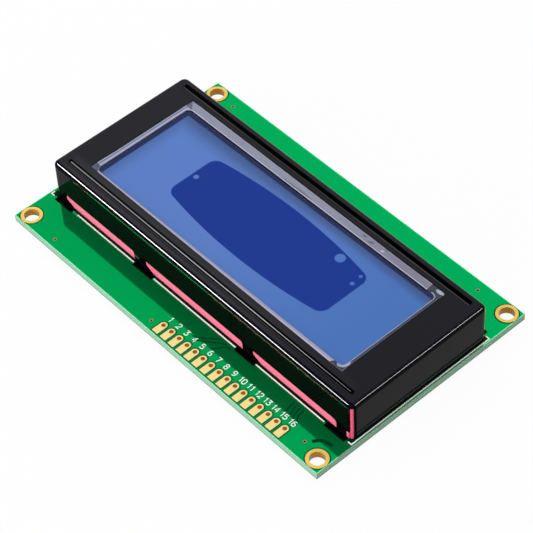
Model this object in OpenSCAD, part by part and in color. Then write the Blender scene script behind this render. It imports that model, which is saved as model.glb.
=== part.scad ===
// Character display module: a printed board that carries a framed liquid crystal
// display with four lines of twenty characters, its backlight and its drive circuit.
// Millimetres. Origin at the centre of the four mounting holes, on the back face of
// the board. +X along the board, +Y away from the row of pin holes, +Z out of the display.

/* [Circuit board] */
// Length of the board along X
board_l = 98.4; // [98:0.1:99]
// Width of the board along Y
board_w = 60.4; // [60:0.1:61]
// Thickness of the board with its copper and solder mask
board_t = 1.8; // [1.6:0.1:2]
// Distance between the mounting holes along X
mount_dx = 93; // [92.6:0.1:93.2]
// Distance between the mounting holes along Y
mount_dy = 55; // [54.6:0.1:55.2]
// Clear diameter of a plated mounting hole
mount_hole_d = 3.5; // [3.2:0.1:3.6]
// Outer diameter of the plated ring round a mounting hole
mount_ring_d = 5; // [4.6:0.1:5.1]
// Thickness of the plating that stands proud of the board
plating_t = 0.05; // [0.04:0.01:0.08]

/* [Pin holes] */
// Number of pin holes in the row
pin_count = 16; // [14:1:16]
// Distance from one pin hole to the next
pin_pitch = 2.54; // [2.5:0.01:2.54]
// Middle of the row along X
pin_row_x = 17.3; // [16:0.1:18]
// Distance from the front edge of the board to the row
pin_row_inset = 3.1; // [3:0.1:3.3]
// Clear diameter of a pin hole
pin_hole_d = 1; // [0.9:0.05:1.05]
// Width of a pin pad
pin_pad_w = 1.75; // [1.7:0.05:1.9]
// Length of the straight part of a pin pad, from the hole towards the board's edge
pin_pad_reach = 2.55; // [2.2:0.05:2.7]

/* [Bezel] */
// Length of the folded bezel over its end walls
bezel_l = 96; // [95.6:0.1:96.6]
// Width of the folded bezel over its long walls
bezel_w = 39; // [38.6:0.1:39.2]
// Height of the bezel above the board
bezel_h = 10.5; // [9.8:0.1:10.6]
// Offset of the bezel's middle along X
bezel_dx = 0.2; // [-0.3:0.1:0.3]
// Offset of the bezel's middle along Y
bezel_dy = 0.1; // [-0.3:0.1:0.3]
// Thickness of the bezel's sheet
sheet_t = 0.4; // [0.35:0.05:0.45]
// Outer radius of the bezel's folds
fold_r = 1.1; // [0.9:0.05:1.15]
// Radius of the bezel's corners, seen from above
corner_r = 1.5; // [1.4:0.05:1.6]
// Length of the window
window_l = 80.3; // [78:0.1:81]
// Width of the window
window_w = 29.8; // [29:0.1:30]
// Offset of the window's middle from the bezel's middle along X
window_dx = -0.5; // [-0.6:0.05:0]
// Offset of the window's middle from the bezel's middle along Y
window_dy = 0.6; // [0.5:0.05:0.9]
// Depth of the stamped beads in the top of the bezel
bead_depth = 0.3; // [0.25:0.05:0.3]
// Width of a stamped bead at the surface
bead_w = 1.4; // [1.2:0.1:1.5]
// Length of a stamped bead between the centres of its round ends
bead_l = 89.8; // [86:0.1:90.5]
// Distance from the front wall's outer face to the middle of the front bead
bead_inset_front = 2.85; // [2.8:0.05:3.1]
// Distance from the rear wall's outer face to the middle of the rear bead
bead_inset_rear = 2.45; // [2:0.05:2.5]
// Height of the openings along the foot of a long wall
opening_h = 2.45; // [2:0.05:2.6]

/* [Display cell] */
// Thickness of each sheet of glass
glass_t = 1.1; // [1:0.05:1.1]
// Length of both sheets of glass
glass_l = 94.4; // [94:0.1:94.8]
// Width of the front glass, which covers both contact strips
front_glass_w = 37.2; // [36.6:0.1:37.4]
// Width of the rear glass, which lies between the contact strips
rear_glass_w = 31.6; // [31:0.1:32]
// Thickness of a contact strip across the board
strip_t = 2.25; // [2:0.05:2.3]

/* [Backlight] */
// Height of the backlight housing
housing_h = 6.95; // [6.5:0.05:7]
// Wall of the backlight housing
housing_wall = 1.1; // [1:0.1:1.2]
// Number of light-emitting diodes on their strip
led_count = 4; // [3:1:4]

/* [Back of the board] */
// Height of the resin domes over the bare chips
dome_h = 1.6; // [1.4:0.05:1.8]
// Length of the folded foot of a bezel tab
tab_foot = 2.6; // [2.2:0.1:2.8]

/* [Hidden] */
eps = 0.01;
pad_numbers = [for (i = [1:pin_count]) i];
function two_digits(i) = i < 10 ? str("0", i) : str(i);
function pad_node(i) = str("pin_pad_", two_digits(i));
corner_names = ["front_left", "front_right", "rear_right", "rear_left"];
corner_signs = [[-1, -1], [1, -1], [1, 1], [-1, 1]];
function ring_node(i) = str("mounting_ring_", corner_names[i]);
led_numbers = [for (i = [1:led_count]) i];
function led_node(i) = str("backlight_led_", i);

// Heights above the back face of the board
top_z = board_t;
bezel_top = top_z + bezel_h;
bezel_under = bezel_top - sheet_t;
polarizer_t = bead_depth;
front_glass_top = bezel_under - polarizer_t - 0.02;
front_glass_z = front_glass_top - glass_t;
seal_t = 0.05;
rear_glass_top = front_glass_z - seal_t;
rear_glass_z = rear_glass_top - glass_t;
rear_polarizer_t = 0.25;
rear_polarizer_z = rear_glass_z - rear_polarizer_t;

// Plan positions
pin_y = -board_w / 2 + pin_row_inset;
pin_x0 = pin_row_x - (pin_count - 1) * pin_pitch / 2;
bezel_hx = bezel_l / 2;
bezel_hy = bezel_w / 2;
inner_hx = bezel_hx - sheet_t;
inner_hy = bezel_hy - sheet_t;
window_x0 = window_dx - window_l / 2;
window_y0 = window_dy - window_w / 2;
bead_front_y = -bezel_hy + bead_inset_front;
bead_rear_y = bezel_hy - bead_inset_rear;
bead_r = (bead_w * bead_w / 4 + bead_depth * bead_depth) / (2 * bead_depth);

// Openings along the foot of the front wall, as [start, end] along X from the
// bezel's middle. The rear wall is the front one turned half round.
openings = [[-44.2, -20.7], [-16.8, 14.7], [17.9, 43.3]];
opening_flare = [2.4, 1.2];
opening_corner = 0.8;

// Slit in each folded corner, on its diagonal, and the notches at the foot of two of them
corner_slit_w = 0.95;
corner_slit_top = bezel_h - 0.75;
front_notch = [1.75, 0.8, 1.9];
end_notch = [0.8, 1.7, 2.3];

// Tabs of the front wall, as [start, end] along X, and the slots that take them
tabs = [[-46.6, -41.6], [-19.6, -14], [13.7, 19.2], [41.3, 46.5]];
tab_slot_play = 0.4;
tab_slot_out = 1.4;
tab_slot_in = 0.4;
tab_fold_r = 0.25;

// Contact strips
strip_gap = 0.05;
strip_outer_y = inner_hy - strip_gap;
strip_l = 2 * (inner_hx - 0.15);
bulge = 0.33;
strip_end_r = 1.15;
corner_bulge_r = 0.42;

// Backlight
housing_l = 94.2;
housing_w = 2 * (strip_outer_y - strip_t) - 0.3;
floor_t = 0.8;
led_board_t = 0.6;
led_board_x = housing_l / 2 - housing_wall - 0.65 - led_board_t;
led_size = [1.9, 3.5, 2.8];
led_pitch = 7;
led_z = 2.3;
lead_w = 0.6;
lead_out = 1;
lead_y = 5;
lead_hole_d = 1;
guide_t = 5.1;
guide_thin_t = 3.5;
reflector_t = 0.2;
diffuser_t = 0.25;

// Plated test holes beside the pin row and along the edges, as [x, y]
test_holes = [[-37.2, -28.3], [-4.6, -28.1], [-40.7, 27.3], [37.7, 27.7], [41.6, -26.4]];
test_hole_d = 0.45;
test_ring_d = 0.85;
barrel_wall = 0.15;

// Parts on the back, as [x, y, turned] or [x, y, radius]
dome_names = ["controller_dome", "driver_dome_left", "driver_dome_right"];
domes = [[0, -6.5, 7.6], [-27, 5, 6.9], [27, 5, 6.9]];
resistors = [[-12, -17.5, 0], [-7.5, -17.5, 0], [-3, -17.5, 0], [1.5, -17.5, 0], [6, -17.5, 0], [38.5, -12, 1]];
capacitors = [[-16.5, -12.5, 1], [15.5, -12.5, 1]];
resistor_size = [2, 1.25, 0.55];
capacitor_size = [2, 1.25, 1.05];
cap_end = 0.4;

resistor_numbers = [for (i = [1:len(resistors)]) i];
capacitor_numbers = [for (i = [1:len(capacitors)]) i];
function resistor_node(i) = str("resistor_", i);
function capacitor_node(i) = str("capacitor_", i);
lead_names = ["anode", "cathode"];

// Plain helpers

module box(x0, x1, y0, y1, z0, z1) {
    translate([x0, y0, z0]) cube([x1 - x0, y1 - y0, z1 - z0]);
}

module plate(l, w, z0, z1) {
    box(-l / 2, l / 2, -w / 2, w / 2, z0, z1);
}

// Places what belongs to the bezel's own centre lines
module from_bezel_middle() {
    translate([bezel_dx, bezel_dy, 0]) children();
}

// A quarter of a disc, its centre at the origin, in the quadrant that sx and sy name
module quarter(r, sx, sy) {
    intersection() {
        circle(r = r, $fn = 48);
        translate([sx > 0 ? 0 : -r, sy > 0 ? 0 : -r]) square(r);
    }
}

// Filled section of the folded bezel: straight walls and a top with rounded folds
module folded_section(half_w, h, r) {
    translate([-half_w, 0]) square([2 * half_w, h - r]);
    translate([r - half_w, h - r]) square([2 * (half_w - r), r]);
    for (s = [-1, 1]) {
        translate([s * (half_w - r), h - r]) quarter(r, s, 1);
    }
}

// A folded corner: half of the folded section turned about a vertical axis
module folded_corner(h, r, plan_r) {
    rotate_extrude($fn = 64) {
        square([plan_r, h - r]);
        translate([0, h - r]) square([plan_r - r, r]);
        translate([plan_r - r, h - r]) quarter(r, 1, 1);
    }
}

// A block with four folded edges that run into each other round its corners
module folded_block(hx, hy, h, r, plan_r) {
    sx = hx - plan_r;
    sy = hy - plan_r;
    rotate([90, 0, 90]) translate([0, 0, -sx]) linear_extrude(2 * sx) folded_section(hy, h, r);
    rotate([90, 0, 0]) translate([0, 0, -sy]) linear_extrude(2 * sy) folded_section(hx, h, r);
    for (s = [-1, 1]) {
        for (t = [-1, 1]) {
            intersection() {
                translate([s * sx, t * sy, 0]) folded_corner(h, r, plan_r);
                translate([s > 0 ? sx : -sx - 2 * plan_r, t > 0 ? sy : -sy - 2 * plan_r, -1])
                    cube([2 * plan_r, 2 * plan_r, h + 2]);
            }
        }
    }
}

// A round rod along X with hemispherical ends, used for both faces of a bead
module bead_rod(r) {
    rotate([0, 90, 0]) translate([0, 0, -bead_l / 2]) cylinder(h = bead_l, r = r, $fn = 64);
    for (s = [-1, 1]) {
        translate([s * bead_l / 2, 0, 0]) intersection() {
            sphere(r = r, $fn = 64);
            translate([s > 0 ? 0 : -2 * r, -2 * r, -2 * r]) cube([2 * r, 4 * r, 4 * r]);
        }
    }
}

// Opening at the foot of a wall, drawn smaller all round by margin. It is flared on
// the left, where the tab's shoulder is, and its upper right corner is rounded.
module opening_outline(a, b, margin) {
    flare_l = sqrt(opening_flare[0] * opening_flare[0] + opening_flare[1] * opening_flare[1]);
    x0 = a + margin;
    x1 = b - margin;
    z0 = -1;
    z1 = opening_h - margin;
    r = opening_corner - margin;
    knee_z = opening_flare[1] + margin * (flare_l - opening_flare[1]) / opening_flare[0];
    toe_x = a + opening_flare[0] + margin * flare_l / opening_flare[1];
    polygon([[x0, z1], [x0, knee_z], [toe_x, 0], [toe_x, z0], [x1 - r, z0], [x1 - r, z1]]);
    translate([x1 - r, z0]) square([r, z1 - r - z0]);
    translate([x1 - r, z1 - r]) quarter(r, 1, 1);
}

// Bezel

// Stands at the centre of the front right corner's arcs and looks out along its diagonal
module to_corner() {
    translate([bezel_hx - corner_r, corner_r - bezel_hy, 0]) rotate([0, 0, -45]) children();
}

// Everything that is cut from the front wall
module front_wall_cuts() {
    for (o = openings) {
        translate([0, -bezel_hy + sheet_t + 0.3, 0]) rotate([90, 0, 0])
            linear_extrude(sheet_t + 0.8) opening_outline(o[0], o[1], 0);
    }
    for (s = [-1, 1]) {
        mirror([s > 0 ? 0 : 1, 0, 0]) to_corner() box(corner_r - sheet_t - 0.4, corner_r + 1.5,
            -corner_slit_w / 2, corner_slit_w / 2, -1, corner_slit_top);
    }
    box(bezel_hx - front_notch[0], bezel_hx - front_notch[1], -bezel_hy - 1, -bezel_hy + sheet_t + 0.2,
        -1, front_notch[2]);
}

// Section of a tab: down through the board, folded in under it
module tab_section() {
    leg_y = bezel_hy;
    fold_y = leg_y - sheet_t - tab_fold_r;
    translate([-leg_y, -board_t + tab_fold_r]) square([sheet_t, board_t - tab_fold_r]);
    translate([-fold_y, -board_t + tab_fold_r]) difference() {
        quarter(tab_fold_r + sheet_t, -1, -1);
        circle(r = tab_fold_r, $fn = 48);
    }
    translate([-fold_y, -board_t - sheet_t]) square([tab_foot, sheet_t]);
}

module front_tabs() {
    for (t = tabs) {
        translate([t[0], 0, 0]) rotate([90, 0, 90]) linear_extrude(t[1] - t[0]) tab_section();
    }
}

module bezel() {
    color([0.08, 0.08, 0.09])
    translate([bezel_dx, bezel_dy, top_z]) {
        difference() {
            union() {
                difference() {
                    folded_block(bezel_hx, bezel_hy, bezel_h, fold_r, corner_r);
                    translate([0, 0, -1])
                        folded_block(inner_hx, inner_hy, bezel_h - sheet_t + 1, fold_r - sheet_t, corner_r - sheet_t);
                }
                for (y = [bead_front_y, bead_rear_y]) {
                    intersection() {
                        translate([0, y, bezel_h + bead_r - bead_depth]) bead_rod(bead_r + sheet_t);
                        plate(bezel_l, bezel_w, bezel_h - 2 * sheet_t, bezel_h - sheet_t / 2);
                    }
                }
            }
            for (y = [bead_front_y, bead_rear_y]) {
                translate([0, y, bezel_h + bead_r - bead_depth]) bead_rod(bead_r);
            }
            box(window_x0, window_x0 + window_l, window_y0, window_y0 + window_w, bezel_h - 1, bezel_h + 1);
            front_wall_cuts();
            rotate([0, 0, 180]) front_wall_cuts();
            box(-bezel_hx - 1, -inner_hx + 0.2, end_notch[0] - bezel_hy, end_notch[1] - bezel_hy, -1, end_notch[2]);
        }
        front_tabs();
        rotate([0, 0, 180]) front_tabs();
    }
}

// Circuit board and its plating

module tab_slots() {
    for (t = tabs) {
        box(t[0] - tab_slot_play, t[1] + tab_slot_play, -bezel_hy - tab_slot_out, -bezel_hy + sheet_t + tab_slot_in,
            -1, board_t + 1);
    }
}

module at_mounts() {
    for (c = corner_signs) {
        translate([c[0] * mount_dx / 2, c[1] * mount_dy / 2, 0]) children();
    }
}

module drill(x, y, r) {
    translate([x, y, -1]) cylinder(h = board_t + 2, r = r, $fn = 48);
}

module circuit_board() {
    color([0.0, 0.55, 0.27])
    difference() {
        plate(board_l, board_w, 0, board_t);
        at_mounts() drill(0, 0, mount_hole_d / 2 + barrel_wall);
        for (i = pad_numbers) {
            drill(pin_x0 + (i - 1) * pin_pitch, pin_y, pin_hole_d / 2 + barrel_wall);
        }
        for (h = test_holes) {
            drill(h[0], h[1], test_hole_d / 2 + barrel_wall / 2);
        }
        for (s = [-1, 1]) {
            drill(bezel_dx + led_board_x + led_board_t + lead_w / 2, bezel_dy + s * lead_y, lead_hole_d / 2);
        }
        from_bezel_middle() {
            tab_slots();
            rotate([0, 0, 180]) tab_slots();
        }
    }
}

// A plated hole: a land on each face and a barrel that lines the drilled hole
module plated_hole(land_r, hole_r, wall) {
    difference() {
        union() {
            translate([0, 0, board_t]) cylinder(h = plating_t, r = land_r, $fn = 64);
            translate([0, 0, -plating_t]) cylinder(h = plating_t, r = land_r, $fn = 64);
            cylinder(h = board_t, r = hole_r + wall, $fn = 64);
        }
        translate([0, 0, -1]) cylinder(h = board_t + 2, r = hole_r, $fn = 64);
    }
}

module mounting_ring(i) {
    c = corner_signs[i];
    color([0.93, 0.76, 0.38])
    translate([c[0] * mount_dx / 2, c[1] * mount_dy / 2, 0])
        plated_hole(mount_ring_d / 2, mount_hole_d / 2, barrel_wall);
}

// Outline of a pin pad: square towards the board's edge, round beyond the hole
module pad_outline() {
    translate([-pin_pad_w / 2, -pin_pad_reach]) square([pin_pad_w, pin_pad_reach]);
    for (s = [-1, 1]) {
        quarter(pin_pad_w / 2, s, 1);
    }
}

module pin_pad(i) {
    color([0.96, 0.82, 0.45])
    translate([pin_x0 + (i - 1) * pin_pitch, pin_y, 0])
    difference() {
        union() {
            translate([0, 0, board_t]) linear_extrude(plating_t) pad_outline();
            translate([0, 0, -plating_t]) linear_extrude(plating_t) pad_outline();
            cylinder(h = board_t, r = pin_hole_d / 2 + barrel_wall, $fn = 48);
        }
        translate([0, 0, -1]) cylinder(h = board_t + 2, r = pin_hole_d / 2, $fn = 48);
    }
}

module test_hole_barrels() {
    color([0.80, 0.62, 0.30])
    for (h = test_holes) {
        translate([h[0], h[1], 0]) plated_hole(test_ring_d / 2, test_hole_d / 2, barrel_wall / 2);
    }
}

// Display cell

film_t = 0.1;
film_lift = 0.02;
film_edge_gap = 0.1;
film_skirt = [1.3, 0.6, 0.9, 2.1];
film_rise = 0.25;

// Film pressed into the window: its foot lies on the polarizer and its sloping
// skirts climb to the window's edges. shrink moves every wall inwards.
module film_tray(shrink, z_shift) {
    x0 = window_x0 + film_edge_gap + shrink;
    x1 = window_x0 + window_l - film_edge_gap - shrink;
    y0 = window_y0 + film_edge_gap + shrink;
    y1 = window_y0 + window_w - film_edge_gap - shrink;
    foot_r = 0.8;
    z = bezel_under + film_lift + z_shift;
    hull() {
        box(x0, x1, y0, y1, z + film_rise, z + film_rise + film_t);
        for (x = [x0 + film_skirt[0] + foot_r, x1 - film_skirt[2] - foot_r]) {
            for (y = [y0 + film_skirt[1] + foot_r, y1 - film_skirt[3] - foot_r]) {
                translate([x, y, z]) cylinder(h = film_t, r = foot_r, $fn = 32);
            }
        }
    }
}

module protective_film() {
    color([0.72, 0.76, 0.88, 0.5])
    from_bezel_middle() difference() {
        film_tray(0, 0);
        film_tray(0.12, film_t);
    }
}

module front_polarizer() {
    color([0.20, 0.33, 0.68])
    from_bezel_middle() box(window_x0 - 1.4, window_x0 + window_l + 1.4, window_y0 - 0.7, window_y0 + window_w + 0.4,
        bezel_under - polarizer_t, bezel_under);
}

module front_glass() {
    color([0.75, 0.85, 0.88, 0.4])
    from_bezel_middle() plate(glass_l, front_glass_w, front_glass_z, front_glass_top);
}

module cell_seal() {
    seal_w = 1.2;
    seal_inset = 1;
    color([0.85, 0.85, 0.80])
    from_bezel_middle() difference() {
        plate(glass_l - 2 * seal_inset, rear_glass_w - 2 * seal_inset, rear_glass_top, front_glass_z);
        plate(glass_l - 2 * (seal_inset + seal_w), rear_glass_w - 2 * (seal_inset + seal_w),
              rear_glass_top - 1, front_glass_z + 1);
    }
}

module rear_glass() {
    color([0.75, 0.85, 0.88, 0.4])
    from_bezel_middle() plate(glass_l, rear_glass_w, rear_glass_z, rear_glass_top);
}

module rear_polarizer() {
    color([0.30, 0.42, 0.72])
    from_bezel_middle() plate(glass_l - 1.6, rear_glass_w - 1.2, rear_polarizer_z, rear_glass_z);
}

// Plan of the front contact strip, its outer corners rounded to clear the folded ones
module strip_plan() {
    side = -strip_outer_y;
    half = strip_l / 2;
    r = strip_end_r;
    translate([-half, side + r]) square([strip_l, strip_t - r]);
    translate([r - half, side]) square([strip_l - 2 * r, r]);
    for (s = [-1, 1]) {
        translate([s * (half - r), side + r]) quarter(r, s, -1);
    }
}

// Front contact strip: it stands between the board and the ledge of the front
// glass, and swells into the openings and the slit corners of the bezel
module contact_strip() {
    side = -strip_outer_y;
    z0 = top_z + 0.05;
    z1 = front_glass_z;
    translate([0, 0, top_z]) linear_extrude(z1 - top_z) strip_plan();
    for (o = openings) {
        translate([0, side + 0.1, top_z]) rotate([90, 0, 0]) linear_extrude(bulge + 0.1) intersection() {
            opening_outline(o[0], o[1], 0.08);
            translate([o[0] - 1, 0.05]) square([o[1] - o[0] + 2, opening_h]);
        }
    }
    for (s = [-1, 1]) {
        mirror([s > 0 ? 0 : 1, 0, 0]) difference() {
            to_corner() translate([corner_r - corner_bulge_r, 0, z0])
                cylinder(h = corner_slit_top - 0.15, r = corner_bulge_r, $fn = 32);
            box(0, glass_l / 2 + 0.05, -front_glass_w / 2 - 0.05, 0, z1, z1 + 5);
        }
    }
    box(bezel_hx - front_notch[0] + 0.06, bezel_hx - front_notch[1] - 0.1, -bezel_hy + 0.05, side + 0.45,
        z0, z0 + front_notch[2] - 0.15);
}

module contact_strip_front() {
    color([0.98, 0.45, 0.58])
    from_bezel_middle() {
        contact_strip();
        box(-bezel_hx + 0.1, -inner_hx + 0.45, end_notch[0] + 0.08 - bezel_hy, end_notch[1] - 0.08 - bezel_hy,
            top_z + 0.05, top_z + end_notch[2] - 0.1);
    }
}

module contact_strip_rear() {
    color([0.98, 0.45, 0.58])
    from_bezel_middle() rotate([0, 0, 180]) contact_strip();
}

// Backlight

module diffuser_sheet() {
    color([0.95, 0.96, 0.98])
    from_bezel_middle() plate(housing_l - 1, housing_w - 1, top_z + housing_h, top_z + housing_h + diffuser_t);
}

// Clear guide, thick at the diodes and thinner at its far end
module light_guide() {
    led_face = led_board_x - led_size[0];
    far_end = -housing_l / 2 + housing_wall + 0.3;
    z0 = top_z + floor_t + reflector_t;
    color([0.86, 0.93, 0.96, 0.6])
    from_bezel_middle() translate([0, housing_w / 2 - housing_wall - 0.3, 0]) rotate([90, 0, 0])
        linear_extrude(housing_w - 2 * (housing_wall + 0.3))
            polygon([[far_end, z0], [led_face - 0.2, z0], [led_face - 0.2, z0 + guide_t],
                     [far_end, z0 + guide_thin_t]]);
}

module reflector_sheet() {
    color([0.97, 0.97, 0.96])
    from_bezel_middle() box(-housing_l / 2 + housing_wall + 0.2, led_board_x - led_size[0] - 0.1,
        -housing_w / 2 + housing_wall + 0.2, housing_w / 2 - housing_wall - 0.2,
        top_z + floor_t, top_z + floor_t + reflector_t);
}

module backlight_housing() {
    color([0.94, 0.94, 0.92])
    from_bezel_middle() difference() {
        plate(housing_l, housing_w, top_z, top_z + housing_h);
        plate(housing_l - 2 * housing_wall, housing_w - 2 * housing_wall, top_z + floor_t, top_z + housing_h + 1);
        for (s = [-1, 1]) {
            translate([led_board_x + led_board_t + lead_w / 2, s * lead_y, top_z - 1])
                cylinder(h = floor_t + 2, r = lead_hole_d / 2, $fn = 32);
        }
    }
}

module led_strip() {
    color([0.90, 0.90, 0.84])
    from_bezel_middle() box(led_board_x, led_board_x + led_board_t, -13.5, 13.5,
        top_z + floor_t, top_z + housing_h - 0.4);
}

// A diode package: a moulded body with a shallow round window over the chip
module backlight_led(i) {
    y = (i - (led_count + 1) / 2) * led_pitch;
    color([0.98, 0.93, 0.70])
    from_bezel_middle() translate([led_board_x - led_size[0], y, top_z + led_z])
    difference() {
        translate([0, -led_size[1] / 2, 0]) cube([led_size[0], led_size[1], led_size[2]]);
        translate([-1, 0, led_size[2] / 2]) rotate([0, 90, 0]) cylinder(h = 1.4, r = 1.1, $fn = 32);
    }
}

module backlight_lead(s) {
    x = led_board_x + led_board_t;
    color([0.80, 0.80, 0.82])
    from_bezel_middle() box(x, x + lead_w, s * lead_y - lead_w / 2, s * lead_y + lead_w / 2, -lead_out, top_z + 4.2);
}

// Solder round a lead on the back: a concave cone, with the lead through it
module solder_joint(s) {
    x = led_board_x + led_board_t + lead_w / 2;
    color([0.75, 0.76, 0.78])
    from_bezel_middle() translate([x, s * lead_y, 0])
    difference() {
        rotate_extrude($fn = 48) difference() {
            translate([0, -0.8]) square([1.15, 0.8]);
            translate([1.25, -0.9]) circle(r = 0.78, $fn = 48);
        }
        translate([-lead_w / 2, -lead_w / 2, -2]) cube([lead_w, lead_w, 4]);
    }
}

// Back of the board

// Resin dome over a bare chip, a cap of a sphere
module resin_dome(d) {
    r = (d[2] * d[2] + dome_h * dome_h) / (2 * dome_h);
    color([0.09, 0.09, 0.10])
    translate([d[0], d[1], 0]) intersection() {
        translate([0, 0, r - dome_h]) sphere(r = r, $fn = 96);
        translate([-d[2] - 1, -d[2] - 1, -dome_h - 1]) cube([2 * d[2] + 2, 2 * d[2] + 2, dome_h + 1]);
    }
}

// Two-ended chip part under the board: a body between two metal end caps
module chip_part(p, size) {
    translate([p[0], p[1], 0]) rotate([0, 0, p[2] * 90]) {
        box(-size[0] / 2 + cap_end, size[0] / 2 - cap_end, -size[1] / 2 + 0.04, size[1] / 2 - 0.04, -size[2] + 0.04, 0);
        for (s = [-1, 1]) {
            mirror([s > 0 ? 0 : 1, 0, 0])
                box(size[0] / 2 - cap_end, size[0] / 2, -size[1] / 2, size[1] / 2, -size[2], 0);
        }
    }
}

module resistor(i) {
    color([0.12, 0.12, 0.13]) chip_part(resistors[i - 1], resistor_size);
}

module capacitor(i) {
    color([0.66, 0.52, 0.36]) chip_part(capacitors[i - 1], capacitor_size);
}

circuit_board();
for (i = [0:3]) {
    mounting_ring(i);
}
for (i = pad_numbers) {
    pin_pad(i);
}
test_hole_barrels();
bezel();
protective_film();
front_polarizer();
front_glass();
cell_seal();
rear_glass();
rear_polarizer();
contact_strip_front();
contact_strip_rear();
diffuser_sheet();
light_guide();
reflector_sheet();
backlight_housing();
led_strip();
for (i = led_numbers) {
    backlight_led(i);
}
for (k = [0, 1]) {
    backlight_lead(1 - 2 * k);
    solder_joint(1 - 2 * k);
}
for (k = [0:len(domes) - 1]) {
    resin_dome(domes[k]);
}
for (i = resistor_numbers) {
    resistor(i);
}
for (i = capacitor_numbers) {
    capacitor(i);
}
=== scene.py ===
import math

import bpy
import numpy as np
from mathutils import Matrix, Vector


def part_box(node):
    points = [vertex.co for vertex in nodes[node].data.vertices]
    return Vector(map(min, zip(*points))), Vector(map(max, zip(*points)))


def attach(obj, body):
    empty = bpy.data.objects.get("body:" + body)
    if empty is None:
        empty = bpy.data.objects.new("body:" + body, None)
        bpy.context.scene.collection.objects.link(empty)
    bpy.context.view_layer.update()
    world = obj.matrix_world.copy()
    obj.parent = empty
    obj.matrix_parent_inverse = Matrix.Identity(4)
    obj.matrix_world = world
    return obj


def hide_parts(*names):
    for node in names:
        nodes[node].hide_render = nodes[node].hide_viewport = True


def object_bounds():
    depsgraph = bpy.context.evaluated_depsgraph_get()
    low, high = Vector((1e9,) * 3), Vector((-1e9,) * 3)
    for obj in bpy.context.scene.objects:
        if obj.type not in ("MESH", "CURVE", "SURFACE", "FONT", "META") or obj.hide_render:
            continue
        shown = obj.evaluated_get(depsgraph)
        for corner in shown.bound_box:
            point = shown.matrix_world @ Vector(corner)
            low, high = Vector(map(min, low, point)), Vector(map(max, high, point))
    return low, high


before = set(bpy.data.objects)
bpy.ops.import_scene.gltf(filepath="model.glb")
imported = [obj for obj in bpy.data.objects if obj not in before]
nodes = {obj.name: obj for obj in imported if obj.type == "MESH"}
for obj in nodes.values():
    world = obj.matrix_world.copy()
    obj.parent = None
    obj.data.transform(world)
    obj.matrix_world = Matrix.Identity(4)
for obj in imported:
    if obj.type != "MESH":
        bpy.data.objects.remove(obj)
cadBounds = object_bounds()
mm = 0.001

# Camera, fitted to the picture's board corners, holes and bezel edges
cameraPlace = (0.248845, -0.206659, 0.367421)
cameraRight = (0.67154, 0.74005, -0.03701)
cameraUp = (-0.53935, 0.52244, 0.66042)
cameraBack = (0.50808, -0.42354, 0.74998)
cameraLens = 151.82
cameraData = bpy.data.cameras.new("camera")
cameraData.lens = cameraLens
cameraData.sensor_width = 36.0
cameraData.sensor_fit = "HORIZONTAL"
cameraData.clip_start = 0.01
camera = bpy.data.objects.new("camera", cameraData)
bpy.context.scene.collection.objects.link(camera)
turn = Matrix((cameraRight, cameraUp, cameraBack)).transposed().to_4x4()
camera.matrix_world = Matrix.Translation(cameraPlace) @ turn
bpy.context.scene.camera = camera
bpy.context.scene.view_settings.view_transform = "Standard"
print("stage: camera")

# Sizes that the scene shares with the part's source, in millimetres
boardTop = 1.8
boardHalf = (49.2, 30.2)
mountHalf = (46.5, 27.5)
ringRadius = 2.5
pinFirst = -1.75
pinPitch = 2.54
pinCount = 16
pinRowY = -27.1
padHalfWidth = 0.875
padSquareEnd = -29.65
windowLow = (-40.45, -14.2)
windowHigh = (39.85, 15.6)
bezelTop = 12.3


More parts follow.
